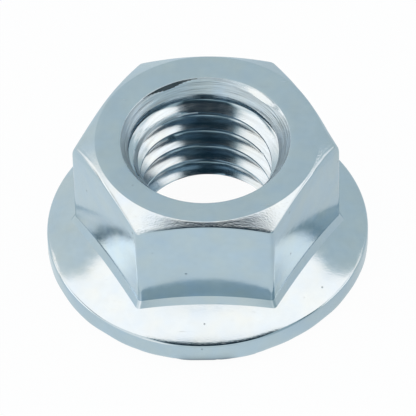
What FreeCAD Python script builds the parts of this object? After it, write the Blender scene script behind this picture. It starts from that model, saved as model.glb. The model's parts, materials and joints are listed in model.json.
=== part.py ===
# Serrated flange nut, M10 x 1.5: one piece of cold-formed steel, zinc plated.
# Frame: millimetres, +Z up the thread axis, origin on that axis at the tips of the serrations,
# which are what the nut stands on. Two corners of the hexagon lie on the X axis.
import FreeCAD, Part
import math
import os
import Sketcher

# Every size that can be set by itself, written once. Angles are in degrees.
SIZES = {
    "across_flats": (15.0, "wrench size of the hexagon"),
    "nut_height": (10.0, "tips of the serrations to the top face"),
    "corner_round": (0.4, "radius of the six upright corners"),
    "chamfer_dia": (14.5, "circle where the top face meets the chamfer"),
    "chamfer_angle": (28.0, "fall of the chamfer below the top face"),
    "flange_dia": (21.0, "outside of the flange"),
    "rim_height": (1.65, "sharp upper edge of the flange's rim"),
    "flange_slope": (23.0, "fall of the flange's cone towards the rim"),
    "root_round": (0.45, "fillet between the hexagon and the flange"),
    "rim_top_round": (0.25, "rounding of the rim's upper edge"),
    "rim_foot_break": (0.4, "chamfer at 45 degrees on the rim's lower edge"),
    "bore_dia": (8.5, "minor diameter of the thread"),
    "sink_dia": (11.0, "mouth of the countersink in the top face"),
    "foot_sink_dia": (12.0, "mouth of the countersink under the nut"),
    "sink_angle": (30.0, "wall of the upper countersink from the axis"),
    "foot_sink_angle": (45.0, "wall of the lower countersink from the axis"),
    "recess_dia": (13.8, "relief inside the ring of serrations"),
    "recess_relief": (0.05, "floor of that relief above the serrations' roots"),
    "tooth_count": (24, "serrations round the bearing face"),
    "tooth_depth": (0.28, "depth of a serration at the rim"),
    "land_angle": (3.0, "flat tip of a serration"),
    "steep_angle": (2.25, "steep flank, the one that bites when the nut works loose"),
    "cut_past": (0.5, "how far a cutter runs past the metal"),
}

NODE = "flange_nut"

doc = FreeCAD.newDocument("SerratedFlangeNut")
sheet = doc.addObject("Spreadsheet::Sheet", "Sizes")
for row, (alias, (value, note)) in enumerate(SIZES.items(), start=1):
    sheet.set(f"A{row}", note)
    sheet.set(f"B{row}", str(value))
    sheet.setAlias(f"B{row}", alias)
doc.recompute()

body = doc.addObject("PartDesign::Body", "Nut")
body.Label = NODE


def origin_feature(role):
    # One of the body's own planes or axes.
    return next(item for item in body.Origin.OriginFeatures if item.Role == role)


def bound(text):
    # Expression with each word of the sheet given its full name.
    for alias in sorted(SIZES, key=len, reverse=True):
        text = text.replace(f"<{alias}>", f"Sizes.{alias}")
    return text


def value_of(text):
    # The same expression as a number, for a sketch's first shape.
    result = sheet.evalExpression(bound(text))
    return float(getattr(result, "Value", result))


def sketch_on(name, role):
    # An empty sketch lying on one of the body's planes.
    sketch = body.newObject("Sketcher::SketchObject", name)
    sketch.AttachmentSupport = (origin_feature(role), [""])
    sketch.MapMode = "FlatFace"
    return sketch


def pin_start(sketch, side, along, up):
    # Hold the start of a side at two expressions measured from the sketch's origin.
    for kind, text in (("DistanceX", along), ("DistanceY", up)):
        index = sketch.addConstraint(Sketcher.Constraint(kind, -1, 1, side, 1, value_of(text)))
        sketch.setExpression(f"Constraints[{index}]", bound(text))


def side_between(start, end, radius):
    # A straight side, or a convex arc of an outline drawn anticlockwise.
    if radius is None:
        return Part.LineSegment(start, end)
    chord = end - start
    inward = FreeCAD.Vector(-chord.y, chord.x, 0).normalize()
    depth = (radius**2 - (chord.Length / 2) ** 2) ** 0.5
    centre = (start + end) / 2 + inward * depth
    first = math.atan2(start.y - centre.y, start.x - centre.x)
    last = math.atan2(end.y - centre.y, end.x - centre.x)
    circle = Part.Circle(centre, FreeCAD.Vector(0, 0, 1), radius)
    return Part.ArcOfCircle(circle, first, last)


def closed_outline(sketch, corners):
    # An outline whose every corner is held by expressions. A third expression in a corner is
    # the radius of the arc that leads from it to the next one.
    spots = [FreeCAD.Vector(value_of(corner[0]), value_of(corner[1]), 0) for corner in corners]
    radii = [corner[2] if len(corner) == 3 else None for corner in corners]
    count = len(spots)
    sides = []
    for i in range(count):
        radius = value_of(radii[i]) if radii[i] else None
        sides.append(sketch.addGeometry(side_between(spots[i], spots[(i + 1) % count], radius), False))
    for i, side in enumerate(sides):
        sketch.addConstraint(Sketcher.Constraint("Coincident", side, 2, sides[(i + 1) % count], 1))
    for side, corner in zip(sides, corners):
        pin_start(sketch, side, corner[0], corner[1])
    for side, radius in zip(sides, radii):
        if radius:
            index = sketch.addConstraint(Sketcher.Constraint("Radius", side, value_of(radius)))
            sketch.setExpression(f"Constraints[{index}]", bound(radius))


def turned(kind, name, corners):
    # A profile in the XZ plane turned a full circle about the thread axis.
    sketch = sketch_on(f"{name}Sketch", "XZ_Plane")
    closed_outline(sketch, corners)
    feature = body.newObject(kind, name)
    feature.Profile = sketch
    feature.ReferenceAxis = (sketch, ["V_Axis"])
    feature.Angle = 360
    doc.recompute()
    return feature


def rounded(name, base, edges, alias):
    # A fillet on the listed edges of the feature before it.
    feature = body.newObject("PartDesign::Fillet", name)
    feature.Base = (base, edges)
    feature.Radius = value_of(f"<{alias}>")
    feature.setExpression("Radius", bound(f"<{alias}>"))
    doc.recompute()
    return feature


def edges_where(feature, test):
    # Names of the feature's edges that pass a test on the edge and its middle point.
    found = []
    for index, edge in enumerate(feature.Shape.Edges, start=1):
        middle = edge.valueAt((edge.FirstParameter + edge.LastParameter) / 2)
        if test(edge, middle):
            found.append(f"Edge{index}")
    return found


def must_remove(before, feature):
    # A cut that points away from the metal changes nothing and reports nothing.
    if feature.Shape.Volume >= before - 1e-6:
        raise RuntimeError(f"{feature.Name} cut nothing")


# Hexagon: full height, so the flange can be laid round its foot.
corner_angles = range(0, 360, 60)
corner_reach = "<across_flats> / 2 / cos(30)"
hexagon = sketch_on("HexagonSketch", "XY_Plane")
closed_outline(
    hexagon,
    [(f"{corner_reach} * cos({angle})", f"{corner_reach} * sin({angle})") for angle in corner_angles],
)
prism = body.newObject("PartDesign::Pad", "Hexagon")
prism.Profile = hexagon
prism.setExpression("Length", bound("<nut_height>"))
doc.recompute()


def is_upright(edge, middle):
    return abs(edge.tangentAt(edge.FirstParameter).z) > 0.99


corners = rounded("CornerRounds", prism, edges_where(prism, is_upright), "corner_round")

# Chamfer: a cone that trims the six top corners.
volume = corners.Shape.Volume
past_corner = f"({corner_reach} + <cut_past>)"
chamfer = turned(
    "PartDesign::Groove",
    "TopChamfer",
    [
        ("<chamfer_dia> / 2 - <cut_past>", "<nut_height> + <cut_past> * tan(<chamfer_angle>)"),
        (past_corner, f"<nut_height> - ({past_corner} - <chamfer_dia> / 2) * tan(<chamfer_angle>)"),
        (past_corner, "<nut_height> + <cut_past> * tan(<chamfer_angle>)"),
    ],
)
must_remove(volume, chamfer)

# Flange: a low cone turned round the foot of the hexagon, up to the bore, with a rounded rim.
rim_reach = "<flange_dia> / 2"
rim_tangent = "(<rim_top_round> / tan((90 + <flange_slope>) / 2))"
cone_top = f"<rim_height> + ({rim_reach} - <bore_dia> / 2) * tan(<flange_slope>)"
flange = turned(
    "PartDesign::Revolution",
    "Flange",
    [
        ("0", "0"),
        (f"{rim_reach} - <rim_foot_break>", "0"),
        (rim_reach, "<rim_foot_break>"),
        (rim_reach, f"<rim_height> - {rim_tangent}", "<rim_top_round>"),
        (
            f"{rim_reach} - {rim_tangent} * cos(<flange_slope>)",
            f"<rim_height> + {rim_tangent} * sin(<flange_slope>)",
        ),
        ("<bore_dia> / 2", cone_top),
        ("0", cone_top),
    ],
)

wall_distance = value_of("<across_flats> / 2")
corner_distance = value_of(corner_reach)
near = 1e-4


def on_root(edge, middle):
    # The seam between the hexagon's walls and the cone.
    distance = math.hypot(middle.x, middle.y)
    cone_height = value_of(f"<rim_height> + ({rim_reach} - {distance}) * tan(<flange_slope>)")
    on_wall = wall_distance - near < distance < corner_distance + near
    return on_wall and abs(middle.z - cone_height) < near


root = rounded("RootFillet", flange, edges_where(flange, on_root), "root_round")

# Relief inside the ring of serrations, with a wall at 45 degrees.
volume = root.Shape.Volume
relief_floor = "(<tooth_depth> + <recess_relief>)"
relief_edge = f"(<recess_dia> / 2 - {relief_floor})"
relief = turned(
    "PartDesign::Groove",
    "Relief",
    [
        ("0", "-<cut_past>"),
        ("<recess_dia> / 2 + <cut_past>", "-<cut_past>"),
        (relief_edge, relief_floor),
        ("0", relief_floor),
    ],
)
must_remove(volume, relief)

# Bore at the thread's minor diameter, countersunk from the relief and from the top face, and
# turned in one cut. The thread itself is not cut.
volume = relief.Shape.Volume


def countersink(mouth_dia, angle):
    # How deep a countersink reaches, and its radius where the cutter leaves the metal.
    fall = f"(({mouth_dia} - <bore_dia>) / 2 / tan({angle}))"
    return fall, f"({mouth_dia} / 2 + <cut_past> * tan({angle}))"


top_fall, top_mouth = countersink("<sink_dia>", "<sink_angle>")
foot_fall, foot_mouth = countersink("<foot_sink_dia>", "<foot_sink_angle>")
bore = turned(
    "PartDesign::Groove",
    "Bore",
    [
        ("0", f"{relief_floor} - <cut_past>"),
        (foot_mouth, f"{relief_floor} - <cut_past>"),
        ("<bore_dia> / 2", f"{relief_floor} + {foot_fall}"),
        ("<bore_dia> / 2", f"<nut_height> - {top_fall}"),
        (top_mouth, "<nut_height> + <cut_past>"),
        ("0", "<nut_height> + <cut_past>"),
    ],
)
must_remove(volume, bore)

# Serrations: one ratchet-shaped notch, repeated round the axis. Its two flanks meet in a root
# line that rises from the origin to the notch's full depth at the rim, so a V cut along that
# line has flat flanks whose edges on the bearing face are radial. A flat land stays beside it.
pitch_angle = "(360 / <tooth_count>)"
start_angle = "(<land_angle> / 2)"
root_angle = "(<land_angle> / 2 + <steep_angle>)"
end_angle = f"({pitch_angle} - <land_angle> / 2)"
reach = "(<flange_dia> / 2 + <cut_past>)"
root_rise = "(<tooth_depth> / (<flange_dia> / 2))"


def below_land(angle):
    # Where a flank, carried on below the bearing face, reaches the foot of the cutter.
    flank_run = f"{reach} * (tan({angle}) - tan({root_angle}))"
    return f"{reach} * tan({angle}) + {flank_run} * <cut_past> / ({reach} * {root_rise})"


section = sketch_on("NotchSection", "YZ_Plane")
section.setExpression("AttachmentOffset.Base.z", bound(reach))
closed_outline(
    section,
    [
        (f"{reach} * tan({root_angle})", f"{reach} * {root_rise}"),
        (below_land(start_angle), "-<cut_past>"),
        (below_land(end_angle), "-<cut_past>"),
    ],
)
volume = bore.Shape.Volume
notch = body.newObject("PartDesign::Pocket", "Notch")
notch.Profile = section
notch.AlongSketchNormal = True
notch.UseCustomVector = True
notch.Direction = FreeCAD.Vector(-1, 0, 0)
notch.setExpression("Direction.y", bound(f"-tan({root_angle})"))
notch.setExpression("Direction.z", bound(f"-{root_rise}"))
notch.setExpression("Length", bound(f"{reach} - ({relief_edge} * cos({pitch_angle}) - <cut_past>)"))
doc.recompute()
must_remove(volume, notch)

volume = notch.Shape.Volume
serrations = body.newObject("PartDesign::PolarPattern", "Serrations")
serrations.Originals = [notch]
serrations.Axis = (origin_feature("Z_Axis"), [""])
serrations.Angle = 360
serrations.setExpression("Occurrences", bound("<tooth_count>"))
body.Tip = serrations
doc.recompute()
must_remove(volume, serrations)

# Nothing is written unless the whole document is sound.
for item in doc.Objects:
    if "Invalid" in item.State or "Error" in item.State:
        raise RuntimeError(f"{item.Name} failed: {item.State}")
nut = body.Shape
if nut.isNull() or not nut.isValid() or len(nut.Solids) != 1:
    raise RuntimeError("the nut is not one valid solid")

os.makedirs("parts", exist_ok=True)
nut.exportStep(f"parts/{body.Label}.step")
print(f"{body.Label}: {nut.Volume:.2f} mm3, {len(nut.Faces)} faces, box {nut.BoundBox}")
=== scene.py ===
import json
import math
import bpy
import bmesh
from mathutils import Matrix, Vector


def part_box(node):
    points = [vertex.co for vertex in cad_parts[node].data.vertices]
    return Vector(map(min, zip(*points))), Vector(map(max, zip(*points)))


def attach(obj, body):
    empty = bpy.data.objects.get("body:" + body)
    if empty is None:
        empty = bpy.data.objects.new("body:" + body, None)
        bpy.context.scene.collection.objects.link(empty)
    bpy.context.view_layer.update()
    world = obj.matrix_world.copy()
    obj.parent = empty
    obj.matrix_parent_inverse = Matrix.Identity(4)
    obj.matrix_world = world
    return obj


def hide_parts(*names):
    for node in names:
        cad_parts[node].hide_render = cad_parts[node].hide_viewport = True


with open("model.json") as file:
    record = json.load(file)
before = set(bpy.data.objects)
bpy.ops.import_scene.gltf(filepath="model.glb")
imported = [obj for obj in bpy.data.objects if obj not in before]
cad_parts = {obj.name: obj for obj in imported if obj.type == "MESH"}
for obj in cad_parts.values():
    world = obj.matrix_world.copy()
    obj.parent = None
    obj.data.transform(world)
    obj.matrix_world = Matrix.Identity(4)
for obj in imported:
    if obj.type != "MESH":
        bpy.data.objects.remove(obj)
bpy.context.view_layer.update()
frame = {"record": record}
mm = 0.001
deg = math.pi / 180
quarterTurn, fullTurn = math.pi / 2, 2 * math.pi
print("frame loaded")


class Field:
    # A value that varies over the surface: arithmetic on it adds Math nodes to the tree.
    def __init__(self, tree, socket):
        self.tree, self.socket = tree, socket

    def run(self, operation, *others):
        node = self.tree.nodes.new("ShaderNodeMath")
        node.operation = operation
        for slot, value in zip(node.inputs, (self,) + others):
            if isinstance(value, Field):
                self.tree.links.new(value.socket, slot)
            else:
                slot.default_value = value
        return Field(self.tree, node.outputs[0])

    def __add__(self, other):
        return self.run("ADD", other)

    def __sub__(self, other):
        return self.run("SUBTRACT", other)

    def __rsub__(self, other):
        return self.run("MULTIPLY", -1.0).run("ADD", other)

    def __mul__(self, other):
        return self.run("MULTIPLY", other)

    def __truediv__(self, other):
        return self.run("DIVIDE", other)

    def __pow__(self, other):
        return self.run("POWER", other)

    __radd__ = __add__
    __rmul__ = __mul__


def sine(a):
    return a.run("SINE")


def cosine(a):
    return a.run("COSINE")


def tangent(a):
    return a.run("TANGENT")


def lower(a, b):
    return a.run("MINIMUM", b)


def higher(a, b):
    return a.run("MAXIMUM", b)


def bell(square):
    # 1 where the square is 0, and soon 0 away from there
    return (square * -1.0).run("EXPONENT")


def awayFrom(turn, angle):
    # angle from one place round the axis to another, the short way
    return (turn - angle).run("WRAP", math.pi, -math.pi)


def softStep(value, start, full):
    # 0 up to start, 1 from full on; full may be the lower one
    node = value.tree.nodes.new("ShaderNodeMapRange")
    node.interpolation_type = "SMOOTHSTEP"
    value.tree.links.new(value.socket, node.inputs["Value"])
    node.inputs["From Min"].default_value = start
    node.inputs["From Max"].default_value = full
    return Field(value.tree, node.outputs["Result"])


def blended(start, end, share):
    # a point part of the way between two others; points are (distance from the axis, height)
    return tuple(a + (b - a) * share for a, b in zip(start, end))


def arcThrough(start, corner, end, weight, share):
    # round arc that leaves start towards the corner and comes from the corner to end; the weight
    # is the cosine of half the angle that it turns by
    rest = 1 - share
    first, middle, last = rest * rest, rest * share * weight * 2, share * share
    total = first + middle + last
    return tuple((a * first + c * middle + b * last) / total for a, c, b in zip(start, corner, end))


# Bright zinc plating. Sizes, heights and depths of its marks are in metres.
zinc = {
    "colour": (0.52, 0.625, 0.69),
    # patterns: size, detail, and how fast they change along X, Y and Z
    "clouds": (2.2 * mm, 3, (1, 1, 1)),
    "mottle": (0.5 * mm, 4, (1, 1, 1)),
    "grain": (0.09 * mm, 3, (1, 1, 1)),
    "tint": (2.2 * mm * 0.7, 2, (1, 1, 1)),
    "turned lines": (0.11 * mm, 2, (0.04, 0.04, 1.0)),
    "scratches": (0.09 * mm, 1, (0.03, 1.2, 0.5)),
    # zones of the surface, and the values that each has
    # the last value of each zone is painted shade, which darkens its colour; below nought it is
    # painted light, which lightens it
    "zone values": ("roughness", "grain height", "line height", "shade by lines", "darkness"),
    "zones": {
        "top": (0.21, 0.15e-6, 0, 0, 0),
        "chamfer": (0.13, 10e-6, 0, 0, 0),
        "sides": (0.12, 0.5e-6, 0, 0, 0),
        "flange": (0.11, 2.2e-6, 0, 0, 0),
        "thread": (0.16, 0.4e-6, 6e-6, 0.4, 0),
        "underside": (0.35, 3e-6, 0, 0, 0),
        # the countersinks' colour is lightened a little: painted light
        "countersink": (0.47, 0, 40e-6, 0.9, -0.12),
        # the lip's colour is darkened: a painted shadow under the pressed metal
        "dark lip": (0.2, 3e-6, 0, 0, 0.8),
    },
    "scratched": (0.70, 0.76),
    "clouds with scratches": (0.02, 0.12),
    "scratch depth": 0.8e-6,
    "pit cells": 1.1 * mm,
    "cells without a pit": 0.7,
    "pit edge": (0.10, 0.03),
    "pit raggedness": 0.12,
    "pit depth": 6e-6,
    "shade by clouds": 0.1,
    "shade by mottle": 0.08,
    "shade of pits": 0.35,
    "shade of scratches": 0.12,
    "tint strength": (0.16, 0.048, -0.128),
    "roughness by mottle": 0.10,
    "roughness of scratches": 0.08,
    "mottle height": 2e-6,
    "cloud height": 7e-6,
}
zoneOf = {name: number for number, name in enumerate(zinc["zones"])}


def makeZinc():
    material = bpy.data.materials.new("zincPlate")
    material.use_nodes = True
    tree = material.node_tree
    nodes, links = tree.nodes, tree.links
    shader = nodes["Principled BSDF"]
    coords = nodes.new("ShaderNodeTexCoord")
    zone = nodes.new("ShaderNodeAttribute")
    zone.attribute_name = "zone"
    zoneNumber = Field(tree, zone.outputs["Fac"])
    numberSlack = 0.4    # zones are whole numbers, so anything under a half tells them apart

    def byZone(name):
        # the value that belongs to the zone
        column = zinc["zone values"].index(name)
        return sum(zoneNumber.run("COMPARE", number, numberSlack) * values[column]
                   for number, values in enumerate(zinc["zones"].values()))

    def noise(name):
        size, detail, pace = zinc[name]
        place = nodes.new("ShaderNodeMapping")
        place.inputs["Scale"].default_value = pace
        links.new(coords.outputs["Object"], place.inputs["Vector"])
        node = nodes.new("ShaderNodeTexNoise")
        node.inputs["Scale"].default_value = 1 / size
        node.inputs["Detail"].default_value = detail
        links.new(place.outputs[0], node.inputs["Vector"])
        return Field(tree, node.outputs["Fac"])

    clouds, mottle, tint = (noise(name) - 0.5 for name in ("clouds", "mottle", "tint"))
    grain, lathe = noise("grain"), noise("turned lines")
    scratches = softStep(noise("scratches"), *zinc["scratched"])
    scratches = scratches * softStep(clouds, *zinc["clouds with scratches"])
    cells = nodes.new("ShaderNodeTexVoronoi")
    cells.inputs["Scale"].default_value = 1 / zinc["pit cells"]
    links.new(coords.outputs["Object"], cells.inputs["Vector"])
    lot = nodes.new("ShaderNodeSeparateColor")
    links.new(cells.outputs["Color"], lot.inputs[0])
    pitted = Field(tree, lot.outputs[0]).run("GREATER_THAN", zinc["cells without a pit"])
    fromPit = Field(tree, cells.outputs["Distance"]) + mottle * zinc["pit raggedness"]
    pits = softStep(fromPit, *zinc["pit edge"]) * pitted

    shade = clouds * zinc["shade by clouds"] + mottle * zinc["shade by mottle"] + 1.0
    shade = shade * (1 - pits * zinc["shade of pits"]) * (1 - scratches * zinc["shade of scratches"])
    # painted shade from the zones: a painted shadow on one lip, and painted light on the countersinks
    shade = shade * ((lathe - 0.5) * byZone("shade by lines") + 1.0) * (1 - byZone("darkness"))
    colour = nodes.new("ShaderNodeCombineXYZ")
    for slot, share, strength in zip(colour.inputs, zinc["colour"], zinc["tint strength"]):
        links.new((shade * share * (tint * strength + 1.0)).socket, slot)
    links.new(colour.outputs[0], shader.inputs["Base Color"])
    shader.inputs["Metallic"].default_value = 1
    roughness = byZone("roughness") + mottle * zinc["roughness by mottle"]
    roughness = roughness + scratches * zinc["roughness of scratches"]
    links.new(roughness.socket, shader.inputs["Roughness"])

    relief = grain * byZone("grain height") + mottle * zinc["mottle height"]
    relief = relief + clouds * zinc["cloud height"] + lathe * byZone("line height")
    relief = relief - pits * zinc["pit depth"] - scratches * zinc["scratch depth"]
    bump = nodes.new("ShaderNodeBump")
    bump.inputs["Strength"].default_value = 1
    bump.inputs["Distance"].default_value = 1
    links.new(relief.socket, bump.inputs["Height"])
    links.new(bump.outputs[0], shader.inputs["Normal"])
    return material


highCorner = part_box("flange_nut")[1]
threadMount = next(m for m in frame["record"]["mounts"] if m["name"] == "thread")
boreRadius = threadMount["dims"]["r_mm"] * mm
boreHalf = threadMount["dims"]["length_mm"] / 2 * mm
boreTop, boreFoot = threadMount["pos_m"][2] + boreHalf, threadMount["pos_m"][2] - boreHalf
reliefFloor = 0.33 * mm
sinkAngle, footSinkAngle = 30 * deg, 45 * deg    # from the axis to the two countersinks' walls

# Serrated flange nut, in metres and radians. The frame gives the outside and the bore.
nut = {
    "Height": highCorner.z,
    "Across flats": 15.0 * mm,
    "Corner radius": 0.3 * mm,
    "Chamfer radius": 7.25 * mm,
    "Chamfer shift back": 0.13 * mm,
    "Chamfer shift right": 0.11 * mm,
    "Chamfer fall": 28 * deg,
    "Brow round": 0.08 * mm,
    "Brow round at the sides": 0.4 * mm,
    "Flange radius": highCorner.x,
    "Flat spot": 0.22 * mm,
    "Flat spot place": -50 * deg,
    "Flat spot spread": 30 * deg,
    "Rim height": 1.65 * mm,
    "Flange slope": 23 * deg,
    "Flange bend": 0.008,
    "Root up the wall": 0.36 * mm,
    "Root down the cone": 0.31 * mm,
    "Rim top radius": 0.22 * mm,
    "Foot radius": 0.6 * mm,
    "Foot wave": 0.03 * mm,
    "Mouth radius": boreRadius + (highCorner.z - boreTop) * math.tan(sinkAngle),
    "Foot mouth radius": boreRadius + (boreFoot - reliefFloor) * math.tan(footSinkAngle),
    "Relief radius": 6.9 * mm,
    "Relief floor": reliefFloor,
    "Tooth depth": 0.28 * mm,
    "Bore radius": boreRadius,
    "Thread radius": 5.0 * mm,
    "Pitch": 1.5 * mm,
    "Root flat": 0.51 * mm,
    "Crest round": 0.05 * mm,
    "First crest": 0.09 * mm,
    "Edge round": 0.05 * mm,
    "Mouth depth": 0.36 * mm,
    "Sink angle": 32.5 * deg,
    # waves of the rim's foot: how many go round, where they start, share of the foot wave
    "Waves": [(11, 0.6, 1.0), (17, 2.1, 1.0), (29, 4.0, 0.7)],
    # where the top's metal is pressed a little over the countersink: angle, spread, reach, zone
    "Lips": [
        (47 * deg, 22 * deg, 0.25 * mm, "chamfer"),
        # the second lip is darkened: a painted shadow under the pressed metal
        (117 * deg, 15 * deg, 0.09 * mm, "dark lip"),
    ],
    # small dents in the thread: angle round the axis, height, reach and depth
    "Nicks": [
        (118 * deg, 5.7 * mm, 0.14 * mm, 0.10 * mm),
        (31 * deg, 6.05 * mm, 0.16 * mm, 0.12 * mm),
        (74 * deg, 4.3 * mm, 0.10 * mm, 0.07 * mm),
        (262 * deg, 7.1 * mm, 0.15 * mm, 0.09 * mm),
    ],
}
columns = 480    # round the axis, so that the serrations' edges fall on columns
rowsPerTurn = 20    # of the thread
toothCount = 24
landHalf, steepEnd = 1.5 * deg, 3.75 * deg    # half a flat land, and where the steep flank ends
flankAngle = 30 * deg    # of the thread's flanks, from square to the axis
weldReach = 0.001 * mm    # points nearer to each other than this become one
sharpAngle = 26 * deg    # edges that turn more than this stay sharp


def makeNutTree(material):
    tree = bpy.data.node_groups.new("flangeNutShape", "GeometryNodeTree")
    sizeNames = [name for name, value in nut.items() if not isinstance(value, list)]
    for name in sizeNames:
        tree.interface.new_socket(name, in_out="INPUT", socket_type="NodeSocketFloat")
    tree.interface.new_socket("Geometry", in_out="OUTPUT", socket_type="NodeSocketGeometry")
    sizesIn = tree.nodes.new("NodeGroupInput")
    size = {name: Field(tree, sizesIn.outputs[name]) for name in sizeNames}
    join = tree.nodes.new("GeometryNodeJoinGeometry")

    place = tree.nodes.new("GeometryNodeInputPosition")
    split = tree.nodes.new("ShaderNodeSeparateXYZ")
    tree.links.new(place.outputs[0], split.inputs[0])
    turn = (Field(tree, split.outputs["X"]) + 0.5) * fullTurn    # angle round the axis
    along = Field(tree, split.outputs["Y"]) + 0.5                # 0 to 1 across a strip

    def strip(rows, point, zone):
        # one band of the surface, closed round the axis
        radius, up = point
        grid = tree.nodes.new("GeometryNodeMeshGrid")
        grid.inputs["Size X"].default_value = 1
        grid.inputs["Size Y"].default_value = 1
        grid.inputs["Vertices X"].default_value = columns + 1
        grid.inputs["Vertices Y"].default_value = rows + 1
        spot = tree.nodes.new("ShaderNodeCombineXYZ")
        for value, slot in zip((radius * cosine(turn), radius * sine(turn), up), spot.inputs):
            tree.links.new(value.socket, slot)
        move = tree.nodes.new("GeometryNodeSetPosition")
        store = tree.nodes.new("GeometryNodeStoreNamedAttribute")
        store.data_type, store.domain = "FLOAT", "FACE"
        store.inputs["Name"].default_value = "zone"
        if isinstance(zone, Field):
            tree.links.new(zone.socket, store.inputs["Value"])
        else:
            store.inputs["Value"].default_value = zone
        tree.links.new(grid.outputs["Mesh"], store.inputs["Geometry"])
        tree.links.new(store.outputs[0], move.inputs["Geometry"])
        tree.links.new(spot.outputs[0], move.inputs["Position"])
        tree.links.new(move.outputs[0], join.inputs[0])

    # hexagon: distance from the axis to its wall, with rounded corners on the X axis
    halfFlats = size["Across flats"] / 2
    cornerRadius = size["Corner radius"]
    halfSide = math.pi / 6    # half the angle that one side spans
    fromFlat = (turn - halfSide).run("WRAP", halfSide, -halfSide)
    fromCorner = halfSide - fromFlat.run("ABSOLUTE")
    cornerCentre = (halfFlats - cornerRadius) / math.cos(halfSide)
    off = cornerCentre * sine(fromCorner)
    cornerReach = higher(cornerRadius * cornerRadius - off * off, 0.0).run("SQRT")
    cornerArc = cornerCentre * cosine(fromCorner) + cornerReach
    arcAside, arcOut = cornerRadius * math.sin(halfSide), cornerRadius * math.cos(halfSide)
    arcEnd = arcAside.run("ARCTAN2", cornerCentre + arcOut)
    flatWall = halfFlats / cosine(fromFlat)
    wall = flatWall + (cornerArc - flatWall) * fromCorner.run("LESS_THAN", arcEnd)

    # serrations: share of the depth, from the flat land up the steep flank and down the long one
    toothTurn = fullTurn / toothCount
    inTooth = turn.run("WRAP", toothTurn, 0.0)
    steep = (inTooth - landHalf) / (steepEnd - landHalf)
    gentle = (toothTurn - landHalf - inTooth) / (toothTurn - landHalf - steepEnd)
    cut = higher(lower(steep, gentle), 0.0)
    rise = cut * size["Tooth depth"] / size["Flange radius"]    # height for each metre from the axis

    # section, from the countersink's mouth over the top and down to the underside
    height = size["Height"]
    halfEdge = size["Edge round"] * 0.5
    sinkEdge = size["Edge round"] * 0.4
    sinkSlope = tangent(size["Sink angle"])
    mouth = (size["Mouth radius"], height)
    mouthIn = (size["Mouth radius"] - sinkEdge * sinkSlope, height - sinkEdge)
    mouthOut = (size["Mouth radius"] + halfEdge, height)

    # the chamfer was turned a little off the axis, and its brows are rounder at the sides
    browFocus = 12      # the higher, the shorter the rounder part
    browShare = 0.65    # most of the chamfer's width that a brow takes
    browDrop = 1.13     # down the wall, for each metre in from it
    chamferStart = (size["Chamfer radius"] + size["Chamfer shift back"] * sine(turn)
                    + size["Chamfer shift right"] * cosine(turn))
    chamferSlope = tangent(size["Chamfer fall"])
    brow = size["Brow round"] + size["Brow round at the sides"] * cosine(turn) ** browFocus
    brow = lower(brow, (wall - chamferStart) * browShare)
    topEdge = (chamferStart, height)
    topIn = (chamferStart - halfEdge, height)
    topOut = (chamferStart + halfEdge, height - halfEdge * chamferSlope)
    wallTop = (wall, height - (wall - chamferStart) * chamferSlope)
    wallIn = (wall - brow, wallTop[1] + brow * chamferSlope)
    wallOut = (wall, wallTop[1] - brow * browDrop)

    # foot of the hexagon and the flange's cone
    slope = tangent(size["Flange slope"])
    flangeOut, flangeUp = cosine(size["Flange slope"]), sine(size["Flange slope"])    # along it
    rootZ = size["Rim height"] + (size["Flange radius"] - wall) * slope
    rootUp = (wall, rootZ + size["Root up the wall"])
    rootOut = (wall + size["Root down the cone"] * flangeOut,
               rootZ - size["Root down the cone"] * flangeUp)

    # rim, with a flat spot and a wavy foot
    rimTurn = quarterTurn - size["Flange slope"]
    rimReach = size["Rim top radius"] * tangent(rimTurn / 2)
    fromSpot = awayFrom(turn, size["Flat spot place"]) / size["Flat spot spread"]
    lost = size["Flat spot"] * bell(fromSpot * fromSpot)
    rimRadius, rimTop = size["Flange radius"] - lost, size["Rim height"] + lost * slope
    rim = (rimRadius, rimTop)
    rimIn = (rimRadius - rimReach * flangeOut, rimTop + rimReach * flangeUp)
    rimDown = (rimRadius, rimTop - rimReach)
    wave = sum(sine(turn * count + start) * share for count, start, share in nut["Waves"])
    footRadius = size["Foot radius"] + size["Foot wave"] * wave
    foot = (rimRadius, 0)
    footUp = (rimRadius, footRadius)
    footIn = (rimRadius - footRadius, 0)

    # bearing face and the relief inside it
    ringZ = rise * size["Relief radius"] / (rise + 1)
    ring = (size["Relief radius"] - ringZ, ringZ)
    floorOut = (size["Relief radius"] - size["Relief floor"], size["Relief floor"])
    floorIn = (size["Foot mouth radius"], size["Relief floor"])

    def cutAt(point):
        # the serrations bite into whatever lies below them
        return (point[0], higher(point[1], rise * point[0]))

    mouthWeight = math.cos((quarterTurn - sinkAngle) / 2)
    topWeight = math.cos(nut["Chamfer fall"] / 2)
    browWeight = math.cos((quarterTurn - nut["Chamfer fall"]) / 2)
    rimWeight, footWeight = cosine(rimTurn / 2), math.cos(quarterTurn / 2)
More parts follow.
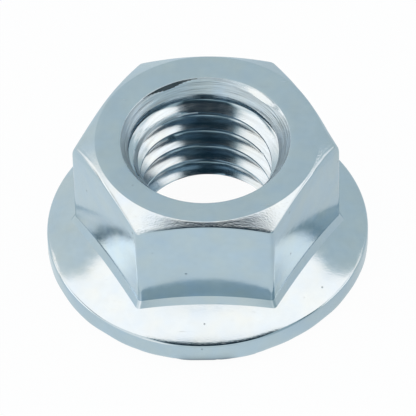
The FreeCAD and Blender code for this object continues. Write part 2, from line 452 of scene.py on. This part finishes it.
    # each strip has its number of rows, where its points go, and its zone
    strip(3, arcThrough(mouthIn, mouth, mouthOut, mouthWeight, along), zoneOf["top"])
    strip(5, blended(mouthOut, topIn, along), zoneOf["top"])
    strip(3, arcThrough(topIn, topEdge, topOut, topWeight, along), zoneOf["chamfer"])
    strip(5, blended(topOut, wallIn, along), zoneOf["chamfer"])
    strip(4, arcThrough(wallIn, wallTop, wallOut, browWeight, along), zoneOf["sides"])
    strip(6, blended(wallOut, rootUp, along), zoneOf["sides"])
    strip(3, blended(rootUp, rootOut, along), zoneOf["sides"])
    radius, z = blended(rootOut, rimIn, along)
    lean = along * 0.45 + 0.35    # the cone bends a little more near the rim
    bend = sine(along * fullTurn) * lean * (rimIn[0] - rootOut[0]) * size["Flange bend"]
    strip(12, (radius, z - bend), zoneOf["flange"])
    strip(5, arcThrough(rimIn, rim, rimDown, rimWeight, along), zoneOf["flange"])
    strip(3, blended(rimDown, footUp, along), zoneOf["flange"])
    strip(7, cutAt(arcThrough(footUp, foot, footIn, footWeight, along)), zoneOf["flange"])
    strip(4, cutAt(blended(footIn, ring, along)), zoneOf["underside"])
    strip(2, blended(ring, floorOut, along), zoneOf["underside"])
    strip(2, blended(floorOut, floorIn, along), zoneOf["underside"])

    # thread: rows climb one pitch a turn, so each row keeps its place on the profile
    rowStep = size["Pitch"] / rowsPerTurn
    firstRow = size["First crest"] - size["Pitch"]
    rows = math.ceil((nut["Height"] + nut["Pitch"] - nut["First crest"]) / nut["Pitch"] * rowsPerTurn)
    climb = size["Pitch"] * turn / fullTurn
    level = firstRow + rowStep * (along * rows) + climb
    sinkEnd = height - size["Mouth depth"]
    z = lower(higher(level, size["Relief floor"]), sinkEnd)
    overCrest = (z - size["First crest"] - climb).run("WRAP", size["Pitch"] / 2, size["Pitch"] * -0.5)
    rootStart = (size["Pitch"] - size["Root flat"]) / 2
    flank = size["Thread radius"] - (rootStart - overCrest.run("ABSOLUTE")) / math.tan(flankAngle)
    soft = (size["Thread radius"] - size["Bore radius"]) * 0.1    # rounding of the thread's root
    groove = flank.run("SMOOTH_MIN", size["Thread radius"], soft)
    groove = groove.run("SMOOTH_MAX", size["Bore radius"], size["Crest round"])
    for angle, up, reach, depth in nut["Nicks"]:
        aside = (turn - angle) * size["Bore radius"] / reach
        above = (z - up) / reach
        groove = groove + bell(aside * aside + above * above) * depth
    sinkTop = size["Mouth radius"] - (height - z) * sinkSlope
    sinkFoot = size["Foot mouth radius"] - (z - size["Relief floor"]) * math.tan(footSinkAngle)
    hollow = groove.run("SMOOTH_MAX", sinkTop, soft * 0.5).run("SMOOTH_MAX", sinkFoot, soft * 0.5)
    onSink = higher(sinkTop, sinkFoot).run("GREATER_THAN", groove)
    strip(rows, (hollow, z), onSink * (zoneOf["countersink"] - zoneOf["thread"]) + zoneOf["thread"])

    # upper end of the countersink, with the pressed metal over it
    lipTop, lipDepth = 1.04, 0.64                # above which share of the strip its zone starts
    lipFrom, lipRise, lipFall = 0.3, 0.1, 0.6    # where the overhang starts, and how it grows and ends
    lip, lipZone = 0, zoneOf["countersink"]
    for angle, spread, reach, zone in nut["Lips"]:
        aside = awayFrom(turn, angle) / spread
        swell = bell(aside * aside)
        lip = lip + swell * reach
        # the part of the strip that takes the lip's zone; on the second lip that zone is a painted
        # shadow
        coloured = along.run("GREATER_THAN", lipTop - swell * lipDepth)
        lipZone = lipZone + coloured * (zoneOf[zone] - zoneOf["countersink"])
    sinkLow = (size["Mouth radius"] - size["Mouth depth"] * sinkSlope, sinkEnd)
    radius, z = blended(sinkLow, mouthIn, along)
    overhang = lower((1 - along) / lipFall, higher((along - lipFrom) / lipRise, 0.0))
    strip(10, (radius - lip * overhang, z), lipZone)

    weld = tree.nodes.new("GeometryNodeMergeByDistance")
    weld.inputs["Distance"].default_value = weldReach
    tree.links.new(join.outputs[0], weld.inputs["Geometry"])
    realize = tree.nodes.new("GeometryNodeRealizeInstances")
    tree.links.new(weld.outputs[0], realize.inputs["Geometry"])
    paint = tree.nodes.new("GeometryNodeSetMaterial")
    paint.inputs["Material"].default_value = material
    tree.links.new(realize.outputs[0], paint.inputs["Geometry"])
    result = tree.nodes.new("NodeGroupOutput")
    tree.links.new(paint.outputs[0], result.inputs["Geometry"])
    return tree


def makeNut(material):
    holder = bpy.data.objects.new("flangeNutHolder", bpy.data.meshes.new("empty"))
    bpy.context.scene.collection.objects.link(holder)
    modifier = holder.modifiers.new("shape", "NODES")
    modifier.node_group = makeNutTree(material)
    for item in modifier.node_group.interface.items_tree:
        if item.in_out == "INPUT":
            modifier[item.identifier] = nut[item.name]
    evaluated = holder.evaluated_get(bpy.context.evaluated_depsgraph_get())
    mesh = bpy.data.meshes.new_from_object(evaluated)
    mesh.name = "flangeNut"
    bpy.data.objects.remove(holder)

    shell = bmesh.new()
    shell.from_mesh(mesh)
    bmesh.ops.recalc_face_normals(shell, faces=shell.faces)
    openEdges = sum(1 for e in shell.edges if len(e.link_faces) != 2)
    shell.to_mesh(mesh)
    shell.free()
    mesh.shade_smooth()
    mesh.set_sharp_from_angle(angle=sharpAngle)
    piece = bpy.data.objects.new("flangeNut", mesh)
    bpy.context.scene.collection.objects.link(piece)
    print("flange nut made:", len(mesh.polygons), "faces,", openEdges, "open edges")
    return piece


# Studio: the camera looks down on the nut, the floor is white and the sky is one large tent.
view = {
    "azimuth": 1.644 * deg,
    "elevation": 47.789 * deg,
    "roll": -1.497 * deg,
    "across": 27.12 * mm,
    "distance": 400 * mm,
    "aim right": 0.059 * mm,
    "aim up": 3.455 * mm,
    "nearest": 10 * mm,
    "farthest": 10,
}


def makeCamera():
    data = bpy.data.cameras.new("camera")
    camera = bpy.data.objects.new("camera", data)
    bpy.context.scene.collection.objects.link(camera)
    azimuth, elevation, roll = view["azimuth"], view["elevation"], view["roll"]
    level = math.cos(elevation)
    back = Vector((math.sin(azimuth) * level, -math.cos(azimuth) * level, math.sin(elevation)))
    right = Vector((math.cos(azimuth), math.sin(azimuth), 0))
    up = back.cross(right)
    tiltedRight = right * math.cos(roll) + up * math.sin(roll)
    tiltedUp = up * math.cos(roll) - right * math.sin(roll)
    aim = right * view["aim right"] + Vector((0, 0, view["aim up"]))
    turned = Matrix((tiltedRight, tiltedUp, back)).transposed().to_4x4()
    camera.matrix_world = Matrix.Translation(aim + back * view["distance"]) @ turned
    data.lens = data.sensor_width * view["distance"] / view["across"]
    data.clip_start, data.clip_end = view["nearest"], view["farthest"]
    bpy.context.scene.camera = camera


# White floor. Metal sees it as pale grey beyond the nut's foot. Under the bore, where the camera's
# side of the room is mirrored, a painted shadow makes it dark in the middle; a painted shade dims it
# to the right.
ground = {
    "half side": 1.5,
    "colour": (0.7, 0.82, 0.9, 1),
    "roughness": 0.9,
    "white": 0.965,
    "mirrored": 0.92,
    "mirrored pale": (0.81, 0.87, 0.89, 1),
    # painted shadow: the colour in which metal sees the floor under the bore
    "mirrored dark": (0.03, 0.055, 0.075, 1),
    # painted shade: what metal sees of the floor dims towards the right
    "dimmer to the right": 0.16,
    "dimmer between": (3 * mm, 12 * mm),
    "clear of the nut": (9.5 * mm, 11.5 * mm),
    "dark under the bore": (2.4 * mm, 1.2 * mm),
}


def makeFloor():
    mesh = bpy.data.meshes.new("floor")
    half = ground["half side"]
    corners = [(-half, -half, 0), (half, -half, 0), (half, half, 0), (-half, half, 0)]
    mesh.from_pydata(corners, [], [(0, 1, 2, 3)])
    floor = bpy.data.objects.new("floor", mesh)
    bpy.context.scene.collection.objects.link(floor)
    material = bpy.data.materials.new("floor")
    material.use_nodes = True
    tree = material.node_tree
    nodes, links = tree.nodes, tree.links
    shader = nodes["Principled BSDF"]
    shader.inputs["Base Color"].default_value = ground["colour"]
    shader.inputs["Roughness"].default_value = ground["roughness"]
    shader.inputs["Specular IOR Level"].default_value = 0
    coords = nodes.new("ShaderNodeTexCoord")
    length = nodes.new("ShaderNodeVectorMath")
    length.operation = "LENGTH"
    links.new(coords.outputs["Object"], length.inputs[0])
    outside = softStep(Field(tree, length.outputs["Value"]), *ground["clear of the nut"])
    split = nodes.new("ShaderNodeSeparateXYZ")
    links.new(coords.outputs["Object"], split.inputs[0])
    x = Field(tree, split.outputs["X"])
    # painted shadow under the bore, dark in the middle, where the floor lies within the nut's foot
    outOfPaintedShadow = 1 - softStep(x.run("ABSOLUTE"), *ground["dark under the bore"]) * (1 - outside)
    # painted shade, dimming what metal sees of the floor towards the right
    paintedShadingRight = softStep(x, *ground["dimmer between"]) * ground["dimmer to the right"]
    tone = nodes.new("ShaderNodeMix")
    tone.data_type = "RGBA"
    paintedShadowSlot, paleSlot, toneSlot = tone.inputs[6], tone.inputs[7], tone.outputs[2]
    links.new((outOfPaintedShadow * (1 - paintedShadingRight)).socket, tone.inputs["Factor"])
    paintedShadowSlot.default_value = ground["mirrored dark"]
    paleSlot.default_value = ground["mirrored pale"]
    path = nodes.new("ShaderNodeLightPath")
    camera, glossy, clear = (Field(tree, path.outputs[f"Is {kind} Ray"])
                             for kind in ("Camera", "Glossy", "Transmission"))
    whiteGlow, mirroredGlow = (nodes.new("ShaderNodeEmission") for _ in range(2))
    links.new(toneSlot, mirroredGlow.inputs["Color"])
    upper = shader
    for glow, seen in ((whiteGlow, camera * ground["white"]),
                       (mirroredGlow, higher(glossy, clear) * ground["mirrored"])):
        mix = nodes.new("ShaderNodeMixShader")
        links.new(seen.socket, mix.inputs[0])
        links.new(upper.outputs[0], mix.inputs[1])
        links.new(glow.outputs[0], mix.inputs[2])
        upper = mix
    links.new(upper.outputs[0], nodes["Material Output"].inputs["Surface"])
    mesh.materials.append(material)


# Sky, as brightness by direction: a tent with a wide soft light overhead, side lights, and a dark
# gap towards the camera. Each patch has its reach along some ways (x right, y away from the
# camera, z up, and the mixes of them in makeSky): two numbers are where it starts and where it
# is full, and two more are where it begins to fade and where it ends.
sky = {
    "back": 0.70,
    "front": 0.68,
    "side light": 1.27,
    "light": 1.39,
    "back left": {"x": (0.1, -0.5), "strength": 0.14},
    "front left": {"x": (-0.25, -0.5), "strength": 0.38},
    "front right": {"x": (0.3, 0.75), "strength": -0.12},
    "front low": {"y": (-0.96, -0.9, -0.8, -0.7), "strength": 0.2},
    "front to back": {"y": (-0.5, 0.1)},
    "front lowest": {"y": (-0.94, -0.96), "z": (0.13, 0.19, 0.24, 0.28), "strength": 0.2},
    "dusk": {"x": (0.86, 0.92), "y": (0.35, 0.5), "z": (0.4, 0.15), "strength": 0.5},
    "sides": {"wide": (0.78, 0.88), "leaning": (-0.24, -0.17, 0.25, 0.28), "z": (0.06, 0.14)},
    "low sides": {"z": (0.42, 0.3), "strength": 0.6},
    "sides less on the right": {"x": (-0.2, 0.2), "strength": 0.15},
    "low left": {"x": (-0.82, -0.88), "z": (0.45, 0.3), "leaning": (0.33, 0.37, 0.43, 0.5),
                 "strength": 0.36},
    "dark arcs": {"leaning": (0.26, 0.285, 0.325, 0.36)},
    "left arc": {"x": (-0.89, -0.93), "strength": 0.75},
    "right arc": {"x": (0.82, 0.88), "strength": 0.35},
    "brows": {"wide": (0.72, 0.8, 0.9, 0.93), "y": (0.24, 0.3, 0.42, 0.48), "z": (0.1, 0.2),
              "strength": 0.9},
    "brows less on the right": {"x": (-0.2, 0.2), "strength": 0.2},
    "overhead": {"to the left edge": (-0.88, -0.78), "to the right edge": (0.88, 0.78),
                 "over the shoulders": (-0.22, -0.16, 0.34, 0.4)},
    "shoulders": {"z": (0.62, 0.57), "from": 0.61, "strength": 3.0},
    "beside the light": 0.8,
    "beside left": {"x": (-0.72, -0.76), "y": (-0.3, -0.2, 0.12, 0.18), "z": (0.5, 0.57)},
    "beside right": {"x": (0.66, 0.72, 0.84, 0.9), "y": (-0.42, -0.36, -0.22, -0.16)},
    "gap": {"x": (-0.42, -0.28, 0.42, 0.52), "z": (0.35, 0.55),
            "over the gap's foot": (-0.72, -0.55, -0.18, -0.125), "strength": 0.95},
    "gap's rise": {"z": (0.89, 0.92), "x": (0.41, 0.36), "from": 0.2, "strength": 0.5},
    # red, green and blue: share, power, and the most that it may be of the brightness
    "colours": ((1.05, 1.5, 1.22), (1.03, 1.14, 1.08), (1.0, 1.0, 1.0)),
}


def makeSky():
    world = bpy.data.worlds.new("tent")
    bpy.context.scene.world = world
    world.use_nodes = True
    tree = world.node_tree
    nodes, links = tree.nodes, tree.links
    coords = nodes.new("ShaderNodeTexCoord")
    split = nodes.new("ShaderNodeSeparateXYZ")
    links.new(coords.outputs["Generated"], split.inputs[0])
    x, y, z = (Field(tree, split.outputs[axis]) for axis in "XYZ")
    sideLean, leanFoot, edgeLean = 0.5, 0.3, 0.25    # how the side lights and the wide light slant
    ways = {
        "x": x,
        "y": y,
        "z": z,
        "wide": x.run("ABSOLUTE"),
        "leaning": y - (z - leanFoot) * sideLean,
        "to the left edge": x - y * edgeLean,
        "to the right edge": x + y * edgeLean,
    }

    def patch(name):
        # 0 outside a patch, 1 well inside it
        steps = []
        for way, reach in sky[name].items():
            if way in ways:
                step = softStep(ways[way], reach[0], reach[1])
                if len(reach) == 4:
                    step = step * softStep(ways[way], reach[3], reach[2])
                steps.append(step)
        return math.prod(steps[1:], start=steps[0])

    def amount(name):
        return patch(name) * sky[name]["strength"]

    shoulders = higher((ways["wide"] - sky["shoulders"]["from"]) * sky["shoulders"]["strength"], 0.0)
    ways["over the shoulders"] = y - shoulders * patch("shoulders")
    gapRise = higher(x - sky["gap's rise"]["from"], 0.0) * patch("gap's rise")
    ways["over the gap's foot"] = y - gapRise * sky["gap's rise"]["strength"]

    back = amount("back left") + sky["back"]
    front = amount("front left") + amount("front right") + amount("front low") + sky["front"]
    tent = front + (back - front) * patch("front to back")
    tent = tent + amount("front lowest")
    tent = tent * (1 - amount("dusk"))
    sideLight = (amount("low sides") + sky["side light"]) * (1 - amount("sides less on the right"))
    tent = tent + (sideLight - tent) * patch("sides")
    tent = tent + amount("low left")
    tent = tent * (1 - (amount("left arc") + amount("right arc")) * patch("dark arcs"))
    brows = patch("brows") * (1 - amount("brows less on the right"))
    tent = tent + (sky["light"] - tent) * brows * sky["brows"]["strength"]
    tent = tent + (sky["light"] - tent) * patch("overhead")
    tent = tent * (1 - higher(patch("beside left"), patch("beside right")) * sky["beside the light"])
    light = tent * (1 - amount("gap"))
    colour = nodes.new("ShaderNodeCombineXYZ")
    for slot, (share, power, most) in zip(colour.inputs, sky["colours"]):
        links.new(lower((light ** power) * share, light * most).socket, slot)
    links.new(colour.outputs[0], nodes["Background"].inputs["Color"])


makeCamera()
makeFloor()
makeSky()
bpy.context.scene.view_settings.view_transform = "Standard"
print("studio ready")

zincPlate = makeZinc()
print("zinc plating ready")
flangeNut = makeNut(zincPlate)
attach(flangeNut, "root")
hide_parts("flange_nut")
